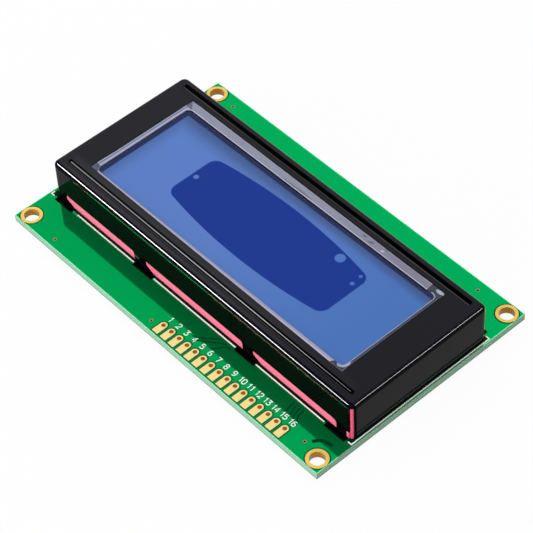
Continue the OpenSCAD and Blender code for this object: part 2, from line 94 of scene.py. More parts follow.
# A small writer of shader graphs: numbers and sockets can be mixed as inputs
class Graph:
    def __init__(self, tree):
        self.tree = tree

    def add(self, kind, **settings):
        node = self.tree.nodes.new(kind)
        for key, value in settings.items():
            setattr(node, key, value)
        return node

    def feed(self, socket, value):
        if isinstance(value, bpy.types.NodeSocket):
            self.tree.links.new(value, socket)
        else:
            socket.default_value = value

    # One Math node: op of a, b and c
    def calc(self, op, a, b=0.0, c=0.0):
        node = self.add("ShaderNodeMath", operation=op)
        for socket, value in zip(node.inputs, (a, b, c)):
            self.feed(socket, value)
        return node.outputs[0]

    # Goes smoothly from 0 at low to 1 at high
    def ramp(self, value, low, high):
        node = self.add("ShaderNodeMapRange", interpolation_type="SMOOTHSTEP")
        self.feed(node.inputs["Value"], value)
        self.feed(node.inputs["From Min"], low)
        self.feed(node.inputs["From Max"], high)
        return node.outputs["Result"]

    # Goes smoothly from 1 at low to 0 at high
    def fall(self, value, low, high):
        return self.calc("SUBTRACT", 1.0, self.ramp(value, low, high))

    # Colour a where the mask is 0, colour b where it is 1
    def blend(self, mask, a, b):
        node = self.add("ShaderNodeMix", data_type="RGBA")
        self.feed(node.inputs[0], mask)
        self.feed(node.inputs[6], a)
        self.feed(node.inputs[7], b)
        return node.outputs[2]

    # Number a where the mask is 0, number b where it is 1
    def between(self, mask, a, b):
        node = self.add("ShaderNodeMix", data_type="FLOAT")
        self.feed(node.inputs[0], mask)
        self.feed(node.inputs[2], a)
        self.feed(node.inputs[3], b)
        return node.outputs[0]

    # Object coordinates in millimetres, as three sockets
    def place(self):
        coords = self.add("ShaderNodeTexCoord")
        scaled = self.add("ShaderNodeVectorMath", operation="SCALE")
        self.feed(scaled.inputs[0], coords.outputs["Object"])
        scaled.inputs["Scale"].default_value = 1000.0
        parts = self.add("ShaderNodeSeparateXYZ")
        self.feed(parts.inputs[0], scaled.outputs[0])
        return parts.outputs[0], parts.outputs[1], parts.outputs[2]

    # Length of a vector with two parts
    def length(self, a, b):
        total = self.calc("ADD", self.calc("MULTIPLY", a, a), self.calc("MULTIPLY", b, b))
        return self.calc("SQRT", total)

    # Distance outside a rounded rectangle: length of max(q, 0), plus min(max(qx, qy), 0), minus r,
    # where q is how far the point lies beyond the straight sides' inner ends
    def outside(self, x, y, middle, half, radius):
        offX = self.calc("ABSOLUTE", self.calc("SUBTRACT", x, middle[0]))
        offY = self.calc("ABSOLUTE", self.calc("SUBTRACT", y, middle[1]))
        qx = self.calc("SUBTRACT", offX, half[0] - radius)
        qy = self.calc("SUBTRACT", offY, half[1] - radius)
        away = self.length(self.calc("MAXIMUM", qx, 0.0), self.calc("MAXIMUM", qy, 0.0))
        within = self.calc("MINIMUM", self.calc("MAXIMUM", qx, qy), 0.0)
        return self.calc("SUBTRACT", self.calc("ADD", away, within), radius)

    # 1 inside a turned ellipse and 0 outside it, with a soft edge: along and across are the point's
    # distances from the middle in the ellipse's own axes, each over its half size
    def spot(self, x, y, middle, radii, turned=0.0, soft=0.35):
        c = math.cos(turned)
        s = math.sin(turned)
        dx = self.calc("SUBTRACT", x, middle[0])
        dy = self.calc("SUBTRACT", y, middle[1])
        alongX = self.calc("MULTIPLY", dx, c / radii[0])
        alongY = self.calc("MULTIPLY", dy, s / radii[0])
        acrossX = self.calc("MULTIPLY", dx, s / radii[1])
        acrossY = self.calc("MULTIPLY", dy, c / radii[1])
        along = self.calc("ADD", alongX, alongY)
        across = self.calc("SUBTRACT", acrossY, acrossX)
        return self.fall(self.length(along, across), 1.0 - soft, 1.0 + soft)

    # 1 between low and high, with soft ends
    def band(self, value, low, high, soft):
        rise = self.ramp(value, low - soft, low + soft)
        return self.calc("MULTIPLY", rise, self.fall(value, high - soft, high + soft))

    # 1 on rays from the camera, mirrored or passed through, and 0 on light that spreads
    def seenRay(self):
        path = self.add("ShaderNodeLightPath")
        seen = self.calc("MAXIMUM", path.outputs["Is Camera Ray"], path.outputs["Is Glossy Ray"])
        return self.calc("MAXIMUM", seen, path.outputs["Is Transmission Ray"])

    # The object's own normal, as three sockets
    def facing(self):
        coords = self.add("ShaderNodeTexCoord")
        parts = self.add("ShaderNodeSeparateXYZ")
        self.feed(parts.inputs[0], coords.outputs["Normal"])
        return parts.outputs[0], parts.outputs[1], parts.outputs[2]


# Turns a picture colour of 0 to 255 into a linear one: ((c + 0.055) / 1.055) to the power 2.4
def shade(red, green, blue):
    value = np.array((red, green, blue)) / 255.0
    linear = np.where(value <= 0.04045, value / 12.92, ((value + 0.055) / 1.055) ** 2.4)
    return (float(linear[0]), float(linear[1]), float(linear[2]), 1.0)


# A material with one Principled node, and its graph to add to
def material(name, color, roughness, **more):
    made = bpy.data.materials.new(name)
    made.use_nodes = True
    graph = Graph(made.node_tree)
    surface = made.node_tree.nodes["Principled BSDF"]
    graph.feed(surface.inputs["Base Color"], color)
    graph.feed(surface.inputs["Roughness"], roughness)
    for key, value in more.items():
        graph.feed(surface.inputs[key.replace("_", " ")], value)
    return made, graph, surface


# Gives CAD nodes a material
def dress(made, *names):
    for name in names:
        for slot in nodes[name].material_slots:
            slot.material = made


# A new mesh object from corner points in millimetres and faces
def newPiece(name, points, faces, made, smooth=False):
    mesh = bpy.data.meshes.new(name)
    mesh.from_pydata((np.asarray(points) * mm).tolist(), [], np.asarray(faces).tolist())
    mesh.update()
    if smooth:
        mesh.shade_smooth()
    else:
        mesh.shade_flat()
    piece = bpy.data.objects.new(name, mesh)
    bpy.context.scene.collection.objects.link(piece)
    mesh.materials.append(made)
    return piece


# Corner points and faces of a flat ribbon along a path: each point moves to both sides along
# the mitre, by half the width over the cosine of half the turn, and the ribbon has a thickness
def ribbon(path, width, low, high):
    path = np.asarray(path, float)
    closed = np.allclose(path[0], path[-1])
    step = np.diff(path, axis=0)
    step /= np.linalg.norm(step, axis=1)[:, None]
    before = np.vstack((step[-1:] if closed else step[:1], step))
    after = np.vstack((step, step[:1] if closed else step[-1:]))
    mean = before + after
    mean /= np.linalg.norm(mean, axis=1)[:, None]
    spread = 0.5 * width / np.clip((mean * after).sum(axis=1), 0.5, 1.0)
    side = np.column_stack((-mean[:, 1], mean[:, 0])) * spread[:, None]
    left, right = path + side, path - side
    count = len(path)
    rows = [np.column_stack((p, np.full(count, z))) for p, z in
            ((left, high), (right, high), (right, low), (left, low))]
    points = np.stack(rows, axis=1).reshape(-1, 3)
    start = np.arange(count - 1)[:, None] * 4
    corner = np.arange(4)[None, :]
    following = (corner + 1) % 4
    ahead = start + 4
    faces = np.stack((start + corner, ahead + corner, ahead + following, start + following), axis=2)
    faces = faces.reshape(-1, 4)[:, ::-1]
    if not closed:
        last = (count - 1) * 4
        faces = np.vstack((faces, [[0, 1, 2, 3]], [[last + 3, last + 2, last + 1, last]]))
    return points, faces


# Several ribbons as one piece
def ribbonPiece(name, paths, width, low, high, made):
    points, faces, offset = [], [], 0
    for path in paths:
        p, f = ribbon(path, width, low, high)
        points.append(p)
        faces.append(f + offset)
        offset += len(p)
    return newPiece(name, np.vstack(points), np.vstack(faces), made)


# Solder mask: glossy, with copper under it that mirrors in green, and bare laminate round the lands.
# Behind the bezel its copper colour is painted lighter, as light, and along the bezel's foot the board is
# painted nearly black, as shade. A lighter line runs along the top's edges. The mask is on both faces, the
# sawn sides show the laminate, darker and greener at their lowest part, and the slots' walls are painted
# dark, as shade
maskLook = {
    "copper": (0.0, 0.2324, 0.0546, 1.0),
    # painted light: the lighter copper colour behind the bezel
    "copperLitRear": (0.0, 0.288, 0.07, 1.0),
    "bare": (0.0, 0.085, 0.03, 1.0),
    "mirror": 0.375,
    # painted shade: the board's colour along the bezel's foot, and the span that it covers
    "under": (0.0, 0.02, 0.006, 1.0),
    "underX": 48.5,
    "underFront": -19.95,
    "underRear": 19.7,
    "rim": shade(120, 215, 165),
    "side": shade(150, 182, 160),
    "sideLow": shade(70, 160, 112),
    # painted shade: the colour of the slots' walls
    "slot": shade(6, 16, 8),
}
maskMaterial, g, surface = material("solder mask", maskLook["copper"], 0.06, Specular_IOR_Level=0.01)
g.feed(surface.inputs["Specular Tint"], (0.0, 1.0, 0.5, 1.0))
px, py, pz = g.place()
nx, ny, nz = g.facing()
onFace = g.ramp(g.calc("ABSOLUTE", nz), 0.5, 0.6)
ringDistance = g.length(g.calc("SUBTRACT", g.calc("ABSOLUTE", px), mountHalf[0]),
                        g.calc("SUBTRACT", g.calc("ABSOLUTE", py), mountHalf[1]))
bareLaminateAndShade = g.fall(ringDistance, ringRadius + 0.2, ringRadius + 0.36)
pinStep = g.calc("DIVIDE", g.calc("SUBTRACT", px, pinFirst), pinPitch)
nearest = g.calc("MINIMUM", g.calc("MAXIMUM", g.calc("ROUND", pinStep), 0.0), pinCount - 1.0)
padX = g.calc("MULTIPLY", g.calc("SUBTRACT", pinStep, nearest), pinPitch)
padY = g.calc("MAXIMUM", g.calc("SUBTRACT", py, pinRowY), 0.0)
padHalo = g.fall(g.length(padX, padY), padHalfWidth + 0.2, padHalfWidth + 0.36)
padHalo = g.calc("MULTIPLY", padHalo, g.ramp(py, padSquareEnd - 0.3, padSquareEnd - 0.15))
bareLaminateAndShade = g.calc("MAXIMUM", bareLaminateAndShade, padHalo)
# Painted shade: the board between the print and the bezel's foot is coloured nearly black and keeps no
# mirror
bezelFootShade = g.calc("LESS_THAN", g.calc("ABSOLUTE", px), maskLook["underX"])
bezelFootShade = g.calc("MULTIPLY", bezelFootShade, g.calc("GREATER_THAN", py, maskLook["underFront"]))
bezelFootShade = g.calc("MULTIPLY", bezelFootShade, g.calc("LESS_THAN", py, maskLook["underRear"]))
bareLaminateAndShade = g.calc("MAXIMUM", bareLaminateAndShade, bezelFootShade)
# Painted light: behind the bezel the copper colour is lighter
faceColor = g.blend(g.ramp(py, 19.0, 21.0), maskLook["copper"], maskLook["copperLitRear"])
faceColor = g.blend(bareLaminateAndShade, faceColor, maskLook["bare"])
faceColor = g.blend(bezelFootShade, faceColor, maskLook["under"])
rimX = g.ramp(g.calc("ABSOLUTE", px), boardHalf[0] - 0.2, boardHalf[0] - 0.12)
rimY = g.ramp(g.calc("ABSOLUTE", py), boardHalf[1] - 0.2, boardHalf[1] - 0.12)
faceColor = g.blend(g.calc("MAXIMUM", rimX, rimY), faceColor, maskLook["rim"])
sideColor = g.blend(g.ramp(pz, 0.24, 0.34), maskLook["sideLow"], maskLook["side"])
# Painted shade: the sides away from the board's outer edges, which are the slots' walls, are dark
rimX = g.ramp(g.calc("ABSOLUTE", px), boardHalf[0] - 0.3, boardHalf[0] - 0.2)
rimY = g.ramp(g.calc("ABSOLUTE", py), boardHalf[1] - 0.3, boardHalf[1] - 0.2)
sideColor = g.blend(g.calc("MAXIMUM", rimX, rimY), maskLook["slot"], sideColor)
g.feed(surface.inputs["Base Color"], g.blend(onFace, sideColor, faceColor))
g.feed(surface.inputs["Metallic"], g.between(onFace, 0.0, g.between(bareLaminateAndShade, maskLook["mirror"], 0.05)))
g.feed(surface.inputs["Roughness"], g.between(onFace, 0.5, 0.06))
dress(maskMaterial, "circuit_board")

# Gold plating: pale on the lands, and darker and deeper in colour on the barrels inside the holes, as
# painted shade
goldLook = {
    "land": (0.70, 0.53, 0.175, 1.0),
    "barrel": (0.60, 0.26, 0.03, 1.0),
    "ring": (0.66, 0.45, 0.085, 1.0),
    "ringBarrel": (0.45, 0.23, 0.02, 1.0),
    "dull": (0.30, 0.20, 0.045, 1.0),
    "dullBarrel": (0.02, 0.012, 0.002, 1.0),
}
goldMaterial, g, surface = material("gold plating", goldLook["land"], 0.3, Metallic=0.25)
nx, ny, nz = g.facing()
flat = g.ramp(g.calc("ABSOLUTE", nz), 0.5, 0.7)
g.feed(surface.inputs["Base Color"], g.blend(flat, goldLook["barrel"], goldLook["land"]))
dress(goldMaterial, *[name for name in nodes if name.startswith("pin_pad")])
# Mounting rings: their barrels are painted darker, as shade
ringMaterial, g, surface = material("ring plating", goldLook["ring"], 0.3, Metallic=0.25,
                                    Specular_IOR_Level=0.2)
flat = g.ramp(g.calc("ABSOLUTE", g.facing()[2]), 0.5, 0.7)
g.feed(surface.inputs["Base Color"], g.blend(flat, goldLook["ringBarrel"], goldLook["ring"]))
dress(ringMaterial, *[name for name in nodes if name.startswith("mounting_ring")])
# Test holes: dull gold, with their barrels painted nearly black, as the shade inside them
dullMaterial, g, surface = material("dull plating", goldLook["dull"], 0.35)
flat = g.ramp(g.facing()[2], 0.5, 0.7)
g.feed(surface.inputs["Base Color"], g.blend(flat, goldLook["dullBarrel"], goldLook["dull"]))
dress(dullMaterial, "test_hole_barrels")

# Bezel lacquer. The sheet flows softly into each bead, so the bead's slope there is taken from
# steepest * sin(pi * s / half), where s is the distance behind its middle line
# Painted reflection: the top's base colour has a blue tint that the wall's lacks. Painted shade: the bead's
# base colour, nearly black, goes on the far half of each bead
lacquerLook = {"top": (0.0018, 0.0020, 0.0062, 1.0), "wall": (0.0020, 0.0020, 0.0022, 1.0),
               "bead": (0.0004, 0.0004, 0.0005, 1.0)}
bead = {"front": -16.72, "rear": 17.12, "half": 0.97, "end": 45.0, "behind": 0.712, "before": 0.45}

# Fine lines along the beads: the side, from and to where behind the bead's middle, and the gloss added
beadLines = [
    ("front", -0.78, -0.52, -0.4),
    ("front", -0.38, -0.12, 0.4),
    ("front", -0.02, 0.23, -0.8),
    ("front", 0.5, 0.92, -0.85),
    ("front", 0.98, 2.6, 0.2),
    ("rear", -0.72, -0.5, -0.35),
    ("rear", 0.06, 0.8, -0.92),
]
lacquer, g, surface = material("black lacquer", lacquerLook["top"], 0.06, IOR=1.165)
px, py, pz = g.place()
nx, ny, nz = g.facing()
flat = g.ramp(nz, 0.6, 0.95)
atRear = g.calc("GREATER_THAN", py, 0.0)
behind = g.calc("SUBTRACT", py, g.between(atRear, bead["front"], bead["rear"]))
inBead = g.calc("LESS_THAN", g.calc("ABSOLUTE", behind), bead["half"])
inBead = g.calc("MULTIPLY", inBead, g.calc("LESS_THAN", g.calc("ABSOLUTE", px), bead["end"] + 0.7))
inBead = g.calc("MULTIPLY", inBead, g.calc("GREATER_THAN", nz, 0.5))
# Painted shade: the far half of each bead gets the nearly black base colour
beadShadeHalf = g.calc("MULTIPLY", inBead, g.band(behind, 0.0, 0.85, 0.1))
lacquerColor = g.blend(flat, lacquerLook["wall"], lacquerLook["top"])
g.feed(surface.inputs["Base Color"], g.blend(beadShadeHalf, lacquerColor, lacquerLook["bead"]))
tilt = g.calc("SINE", g.calc("MULTIPLY", behind, math.pi / bead["half"]))
steepest = g.between(g.calc("GREATER_THAN", behind, 0.0), bead["before"], bead["behind"])
tilt = g.calc("MULTIPLY", tilt, steepest)
tilt = g.calc("MULTIPLY", tilt, g.fall(g.calc("ABSOLUTE", px), bead["end"] - 0.4, bead["end"] + 0.6))
shaped = g.add("ShaderNodeCombineXYZ")
g.feed(shaped.inputs[0], g.between(inBead, nx, 0.0))
g.feed(shaped.inputs[1], g.between(inBead, ny, g.calc("MULTIPLY", tilt, -1.0)))
g.feed(shaped.inputs[2], g.between(inBead, nz, 1.0))
unit = g.add("ShaderNodeVectorMath", operation="NORMALIZE")
g.feed(unit.inputs[0], shaped.outputs[0])
g.feed(surface.inputs["Normal"], unit.outputs[0])
parts = g.add("ShaderNodeSeparateXYZ")
g.feed(parts.inputs[0], unit.outputs[0])
toFront = g.calc("MULTIPLY", parts.outputs[1], -1.0)

# Its gloss: the front strip of the top mirrors most and the right end least, and each bend has
# a dark band on both sides of its bright line
glossLook = {"top": 0.5, "frontStrip": 0.24, "frontEdge": 0.2, "rightEnd": -0.07, "bend": 0.27, "wall": 0.2,
             "lowBand": -0.92, "highBand": -0.75}
frontStrip = g.fall(py, -15.6, -12.5)
frontStrip = g.calc("MULTIPLY", frontStrip, g.fall(px, 2.0, 42.0))
frontStrip = g.calc("MULTIPLY", frontStrip, g.between(g.ramp(px, -47.0, -40.0), 0.3, 1.0))
outer = g.calc("MULTIPLY", frontStrip, g.band(py, -18.3, -17.5, 0.2))
topGloss = g.calc("MULTIPLY_ADD", frontStrip, glossLook["frontStrip"], glossLook["top"])
topGloss = g.calc("MULTIPLY_ADD", outer, glossLook["frontEdge"], topGloss)
topGloss = g.calc("MULTIPLY_ADD", g.ramp(px, 20.0, 42.0), glossLook["rightEnd"], topGloss)
sideGloss = g.between(g.ramp(toFront, 0.9, 0.98), glossLook["bend"], glossLook["wall"])
gloss = g.between(flat, sideGloss, topGloss)
lowBand = g.band(toFront, 0.14, 0.5, 0.05)
gloss = g.calc("MULTIPLY", gloss, g.calc("MULTIPLY_ADD", lowBand, glossLook["lowBand"], 1.0))
highBand = g.band(toFront, 0.7, 0.86, 0.04)
gloss = g.calc("MULTIPLY", gloss, g.calc("MULTIPLY_ADD", highBand, glossLook["highBand"], 1.0))

# The beads: their steepest part keeps little gloss, then come the fine lines, and the rear bead's
# light line, which is stronger towards both ends
steepGloss = g.between(atRear, g.between(g.ramp(px, -35.0, 35.0), 0.11, 0.3), 0.02)
steepPart = g.calc("MULTIPLY", inBead, g.band(toFront, 0.45, 0.7, 0.03))
gloss = g.calc("MULTIPLY", gloss, g.between(steepPart, 1.0, steepGloss))
along = g.calc("LESS_THAN", g.calc("ABSOLUTE", px), bead["end"])
along = g.calc("MULTIPLY", along, g.calc("MAXIMUM", flat, inBead))
sides = {"front": g.calc("SUBTRACT", along, atRear), "rear": g.calc("MULTIPLY", along, atRear)}
for side, low, high, change in beadLines:
    line = g.calc("MULTIPLY", g.calc("MAXIMUM", sides[side], 0.0), g.band(behind, low, high, 0.06))
    gloss = g.calc("MULTIPLY", gloss, g.calc("MULTIPLY_ADD", line, change, 1.0))
ends = g.ramp(g.calc("ABSOLUTE", g.calc("ADD", px, 8.0)), 16.0, 26.0)
rearLine = g.calc("MULTIPLY", sides["rear"], g.band(behind, -0.26, 0.0, 0.06))
rearLine = g.calc("MULTIPLY", rearLine, g.calc("MULTIPLY_ADD", ends, 1.8, 0.7))
gloss = g.calc("MULTIPLY", gloss, g.calc("ADD", rearLine, 1.0))
g.feed(surface.inputs["Specular IOR Level"], g.calc("MULTIPLY", gloss, g.ramp(px, -47.55, -47.25)))
dress(lacquer, "bezel")

# Contact strips: darker at their ends, in the bezel's open corners, as painted shade
pinkLook = {"face": (1.0, 0.165, 0.31, 1.0), "end": (0.8, 0.1, 0.21, 1.0), "endFrom": 47.0}
pinkMaterial, g, surface = material("pink rubber", pinkLook["face"], 0.42, IOR=1.2)
px, py, pz = g.place()
shadedEnd = g.calc("GREATER_THAN", g.calc("ABSOLUTE", px), pinkLook["endFrom"])
g.feed(surface.inputs["Base Color"], g.blend(shadedEnd, pinkLook["face"], pinkLook["end"]))
dress(pinkMaterial, "contact_strip_front", "contact_strip_rear")

# The film's foot on the display: a rounded rectangle whose long sides lean a little, and the
# display's dark rim inside it
foot = {"low": (-39.1, -13.6), "high": (38.8, 13.58), "radius": 1.15, "leanRear": 0.0048,
        "leanFront": 0.0075, "shiftFront": 0.3}
footMiddle = ((foot["low"][0] + foot["high"][0]) / 2, (foot["low"][1] + foot["high"][1]) / 2)
footHalf = ((foot["high"][0] - foot["low"][0]) / 2, (foot["high"][1] - foot["low"][1]) / 2)
rim = {"left": -37.65, "rear": 12.22, "slope": 0.01}


# 1 on the lit part of the display and 0 on its rim, which runs along the left and the rear
def litPart(g, px, py, soft):
    left = g.ramp(px, rim["left"] - soft, rim["left"] + soft)
    edge = g.calc("ADD", rim["rear"], g.calc("MULTIPLY", px, rim["slope"]))
    return g.calc("MULTIPLY", left, g.ramp(g.calc("SUBTRACT", edge, py), -soft, soft))


# Colours of the display: its lit face, its rim, the shadow under the window's edge, and its lit face
# as the haze lets it through, with some white added as the film's painted sheen
displayLook = {"active": shade(22, 57, 151), "rim": shade(41, 48, 86), "edge": shade(6, 6, 8)}
veil = {"haze": 0.645, "through": 0.42, "white": 0.037}
veiled = [veil["through"] * value + veil["white"] for value in displayLook["active"][:3]]
displayLook["veiled"] = (*veiled, 1.0)

plain = {
    "glass": ("cell glass", shade(150, 170, 176), 0.05, ("front_glass", "rear_glass")),
    "seal": ("seal", shade(214, 214, 200), 0.6, ("cell_seal",)),
    "rearPolarizer": ("rear polarizer", shade(40, 60, 140), 0.2, ("rear_polarizer",)),
    "white": ("white plastic", shade(232, 232, 228), 0.5,
              ("diffuser_sheet", "reflector_sheet", "backlight_housing")),
    "guide": ("clear plastic", shade(205, 222, 228), 0.1, ("light_guide",)),
    "laminate": ("laminate", shade(225, 225, 200), 0.5, ("led_strip",)),
    "diode": ("diode body", shade(248, 236, 190), 0.35,
              tuple(n for n in nodes if n.startswith("backlight_led"))),
    "resin": ("resin", shade(22, 22, 24), 0.28,
              ("controller_dome", "driver_dome_left", "driver_dome_right")),
}
for name, color, roughness, targets in plain.values():
    made, g, surface = material(name, color, roughness)
    dress(made, *targets)

solderMaterial, g, surface = material("solder", shade(205, 207, 210), 0.25, Metallic=0.9)
dress(solderMaterial, *[n for n in nodes if n.startswith(("backlight_lead", "solder_joint"))])
print("stage: materials")

chipLook = {"resistor": shade(28, 28, 30), "capacitor": shade(176, 140, 100), "end": shade(200, 202, 205),
            "endLength": 0.4}


# Chips with tinned ends: the ends are found along the chip's longer side
def chipMaterial(name, target, body):
    low, high = (np.array(v) * 1000.0 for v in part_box(target))
    axis = int(high[1] - low[1] > high[0] - low[0])
    made, g, surface = material(name, body, 0.4)
    along = g.place()[axis]
    middle = float(low[axis] + high[axis]) / 2.0
    half = float(high[axis] - low[axis]) / 2.0
    start = half - chipLook["endLength"]
    end = g.ramp(g.calc("ABSOLUTE", g.calc("SUBTRACT", along, middle)), start - 0.02, start + 0.02)
    g.feed(surface.inputs["Base Color"], g.blend(end, body, chipLook["end"]))
    g.feed(surface.inputs["Metallic"], g.between(end, 0.0, 0.9))
    dress(made, target)


for name in nodes:
    kind = name.split("_")[0]
    if kind in ("resistor", "capacitor"):
        chipMaterial("chip " + name, name, chipLook[kind])

# Protective film: a sheet that lies on the display and climbs to the window's edges. Its clear part is
# nearly transparent, and the haze that it makes over the display is drawn on both, painted lighter, partly
# as the film's scatter and partly as the reflection at the air gap under it. On the skirts, the lines,
# arcs, glints, facets, creases and each side's tone are painted light and shade over the film's lavender
# grey
filmLook = {
    "haze": shade(111, 154, 238),
    "hazeRight": shade(88, 141, 225),
    "hazeRear": shade(72, 104, 156),
    "line": shade(205, 208, 232),
    "rear": shade(152, 155, 176),
    "left": shade(182, 186, 215),
    "leftFoldShade": shade(128, 128, 164),
    "front": shade(212, 210, 240),
    "frontInner": shade(186, 180, 200),
    "dark": shade(60, 65, 78),
    "deepestShade": shade(34, 38, 50),
    "facetFront": shade(88, 98, 120),
    "facetRear": shade(108, 113, 128),
    "facetHighlight": shade(160, 160, 182),
    "arc": shade(180, 183, 202),
    "rearRight": shade(138, 134, 154),
    "shadeLineAtFoot": shade(20, 20, 26),
    "clear": 0.04,
    "skirt": 0.86,
}

# The patch of film that lies flat on the display: its long sides are arcs and its corners are round
patch = {"middle": (1.1, 0.42), "halfX": 24.5, "halfY": 9.1, "arc": 2.2, "corner": 2.0, "soft": 0.06}

# Spots in the patch where the film stands off: middle and radius
bubbles = ((-22.1, 0.6, 0.62), (17.1, 6.9, 1.2), (23.8, 6.45, 0.4), (24.0, 3.8, 0.5))


# The display as it is seen through the film: dark blue where the film lies flat on it, hazy on the
# rest of its lit part, and navy on its rim
def seenDisplay(g, px, py):
    lit = litPart(g, px, py, 0.16)
    across = g.calc("SUBTRACT", px, patch["middle"][0])
    share = g.calc("DIVIDE", across, patch["halfX"])
    bow = g.calc("MULTIPLY", g.calc("MULTIPLY", share, share), patch["arc"])
    halfY = g.calc("SUBTRACT", patch["halfY"], bow)
    insideX = g.calc("SUBTRACT", patch["halfX"], g.calc("ABSOLUTE", across))
    insideY = g.calc("SUBTRACT", halfY, g.calc("ABSOLUTE", g.calc("SUBTRACT", py, patch["middle"][1])))
    cornerX = g.calc("MAXIMUM", g.calc("SUBTRACT", patch["corner"], insideX), 0.0)
    cornerY = g.calc("MAXIMUM", g.calc("SUBTRACT", patch["corner"], insideY), 0.0)
    reach = g.length(cornerX, cornerY)
    flatPart = g.fall(reach, patch["corner"] - patch["soft"], patch["corner"] + patch["soft"])
    for bx, by, radius in bubbles:
        away = g.length(g.calc("SUBTRACT", px, bx), g.calc("SUBTRACT", py, by))
        flatPart = g.calc("MULTIPLY", flatPart, g.ramp(away, radius - 0.08, radius + 0.08))

    # Haze over the rest of the lit part, painted lighter as the film's scatter and the air gap's
    # reflection:
    # bluer to the right, greyer towards the rear and the left
    hazeColor = g.blend(g.ramp(px, -12.0, 36.0), filmLook["haze"], filmLook["hazeRight"])
    rearShade = g.ramp(py, g.between(g.ramp(px, -24.0, 20.0), 6.6, 9.4), 12.8)
    leftShade = g.fall(px, -37.6, -34.0)
    greyer = g.calc("MAXIMUM", rearShade, g.calc("MULTIPLY", leftShade, 0.5))
    hazeColor = g.blend(greyer, hazeColor, filmLook["hazeRear"])
    hazeColor = g.blend(veil["haze"], displayLook["veiled"], hazeColor)
    clearColor = g.blend(lit, displayLook["rim"], displayLook["active"])
    hazy = g.calc("MULTIPLY", lit, g.calc("SUBTRACT", 1.0, flatPart))
    return g.blend(hazy, clearColor, hazeColor)


# Distance inside the window's edge
def insideWindow(g, px, py):
    nearX = g.calc("MINIMUM", g.calc("SUBTRACT", px, windowLow[0]), g.calc("SUBTRACT", windowHigh[0], px))
    nearY = g.calc("MINIMUM", g.calc("SUBTRACT", py, windowLow[1]), g.calc("SUBTRACT", windowHigh[1], py))
    return g.calc("MINIMUM", nearX, nearY)


# Display: a blue polarizer, black in the shadow under the window's edge
polarizerMaterial, g, surface = material("blue polarizer", displayLook["active"], 0.08, IOR=1.1)
px, py, pz = g.place()
color = seenDisplay(g, px, py)
shadowed = g.calc("LESS_THAN", insideWindow(g, px, py), 0.3)
g.feed(surface.inputs["Base Color"], g.blend(shadowed, color, displayLook["edge"]))
dress(polarizerMaterial, "front_polarizer")

# The film's own surface, from its distances outside the foot and inside the window's edge. On the
# skirts the colour goes by t = over / (over + edge), which is 0 at the foot's outline and 1 at the edge
filmMaterial, g, surface = material("protective film", filmLook["haze"], 0.12, IOR=1.22)
px, py, pz = g.place()
leanFront = g.calc("MULTIPLY_ADD", px, foot["leanFront"], foot["shiftFront"])
leanRear = g.calc("MULTIPLY", px, foot["leanRear"])
footY = g.calc("SUBTRACT", py, g.between(g.calc("GREATER_THAN", py, 0.0), leanFront, leanRear))
outside = g.outside(px, footY, footMiddle, footHalf, foot["radius"])
edge = g.calc("MAXIMUM", insideWindow(g, px, py), 0.0)
over = g.calc("MAXIMUM", outside, 0.0)
t = g.calc("DIVIDE", over, g.calc("ADD", g.calc("ADD", over, edge), 0.001))
skirt = g.ramp(outside, -0.03, 0.03)

# Rear skirt: a painted light line at the foot and at the edge, with the painted shade of soft creases
# between them and one painted glint. Each crease has a middle, two half sizes, a turn and a strength
creases = (((-4.2, 14.0), (4.2, 0.28), 0.03, 0.5), ((16.3, 14.9), (0.5, 0.22), 0.2, 0.55),
           ((18.5, 14.6), (0.8, 0.3), 0.35, 0.6), ((22.4, 15.35), (0.35, 0.2), 0.0, 0.95),
           ((29.6, 15.4), (0.22, 0.15), 0.0, 0.4), ((9.0, 14.6), (0.5, 0.25), 0.4, 0.2),
           ((-22.5, 14.6), (0.4, 0.3), 0.4, 0.2))
rearColor = g.blend(g.ramp(px, 0.0, 36.0), filmLook["rear"], filmLook["rearRight"])
for middle, radii, turned, strength in creases:
    mark = g.calc("MULTIPLY", g.spot(px, py, middle, radii, turned, 0.5), strength)
    rearColor = g.blend(mark, rearColor, filmLook["dark"])
rearColor = g.blend(g.spot(px, py, (22.0, 14.55), (0.42, 0.22), 0.5), rearColor, filmLook["line"])
rearColor = g.blend(g.fall(t, 0.07, 0.13), rearColor, filmLook["line"])
rearColor = g.blend(g.ramp(t, 0.88, 0.94), rearColor, filmLook["line"])

# Left skirt: painted shade in a band where it folds once along its length, and at its foot. Right skirt:
# painted shade between two thin painted light lines and at both corners, with a painted light arc and glint
frontColor = g.blend(g.ramp(t, 0.55, 0.65), filmLook["frontInner"], filmLook["front"])
leftColor = g.blend(g.band(t, 0.5, 0.74, 0.04), filmLook["left"], filmLook["leftFoldShade"])
leftColor = g.blend(g.fall(t, 0.08, 0.14), leftColor, filmLook["facetRear"])
rightColor = g.blend(g.band(edge, 0.2, 0.44, 0.05), filmLook["deepestShade"], filmLook["facetFront"])
sideways = g.calc("MULTIPLY_ADD", px, 0.905, py)
arc = g.calc("MULTIPLY", g.band(sideways, 20.6, 24.3, 0.1), g.calc("LESS_THAN", py, 0.0))
ring = g.between(arc, 0.24, 0.72)
ringed = g.fall(outside, ring, g.calc("ADD", ring, 0.1))
ringed = g.calc("MULTIPLY", ringed, g.calc("GREATER_THAN", sideways, 20.6))
slanted = g.calc("SUBTRACT", px, g.calc("MULTIPLY", py, 0.12))
ringed = g.calc("MULTIPLY", ringed, g.calc("GREATER_THAN", slanted, 35.6))
cornerShade = g.calc("MULTIPLY", g.calc("LESS_THAN", py, -12.0), g.calc("SUBTRACT", 1.0, ringed))
rightColor = g.blend(g.calc("MULTIPLY", cornerShade, 0.8), rightColor, filmLook["dark"])
rightColor = g.blend(ringed, rightColor, g.blend(arc, filmLook["facetHighlight"], filmLook["arc"]))
